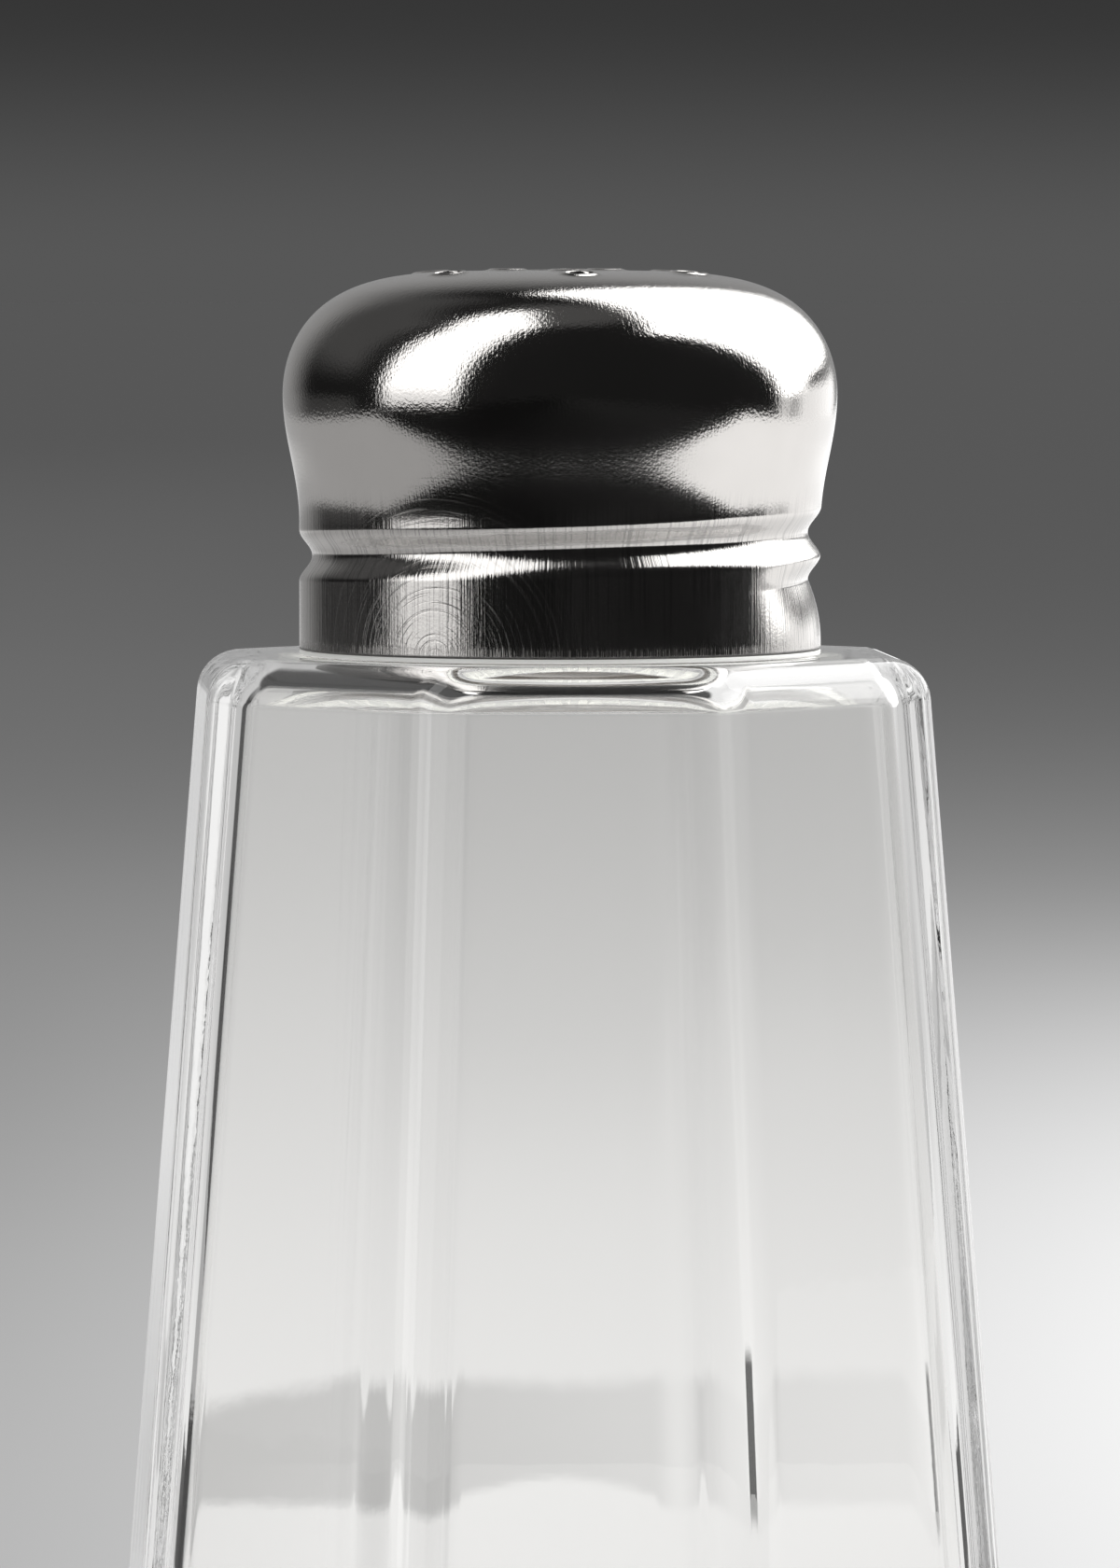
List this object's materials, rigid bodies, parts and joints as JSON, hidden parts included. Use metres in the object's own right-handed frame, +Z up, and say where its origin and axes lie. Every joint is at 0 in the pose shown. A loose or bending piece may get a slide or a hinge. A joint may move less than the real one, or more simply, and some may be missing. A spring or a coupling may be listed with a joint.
{
  "type": "salt shaker",
  "caption": "Tapered octagonal clear-glass salt shaker with a perforated, polished-steel mushroom lid that unscrews along its thread.",
  "frame": {"origin": "middle of the jar's foot, on the surface that it stands on", "axes": "+Z up along the axis of the jar and the lid; panels face +X, -X, +Y and -Y, and the pictured side faces -Y"},
  "size_m": [0.0532, 0.0532, 0.102],
  "materials": {
    "clear_glass": "gloss",
    "pale_seal": "matte",
    "polished_steel": "polished"
  },
  "bodies": {
    "jar": {"glass_jar": "clear_glass"},
    "ring": {"seal_ring": "pale_seal"},
    "lid": {"screw_lid": "polished_steel"}
  },
  "joints": [
    {"name": "lid_turn", "type": "hinge", "parent": "jar", "child": "ring", "pos_m": [0, 0, 0.07995], "axis": [0, 0, 1], "range_deg": [0, 428.7]},
    {"name": "lid_rise", "type": "slide", "parent": "ring", "child": "lid", "axis": [0, 0, 1], "range_m": [0, 0.0033]}
  ],
  "couplings": [
    {"joint": "lid_rise", "follows": "lid_turn", "m_per_rad": 0.00043768}
  ]
}
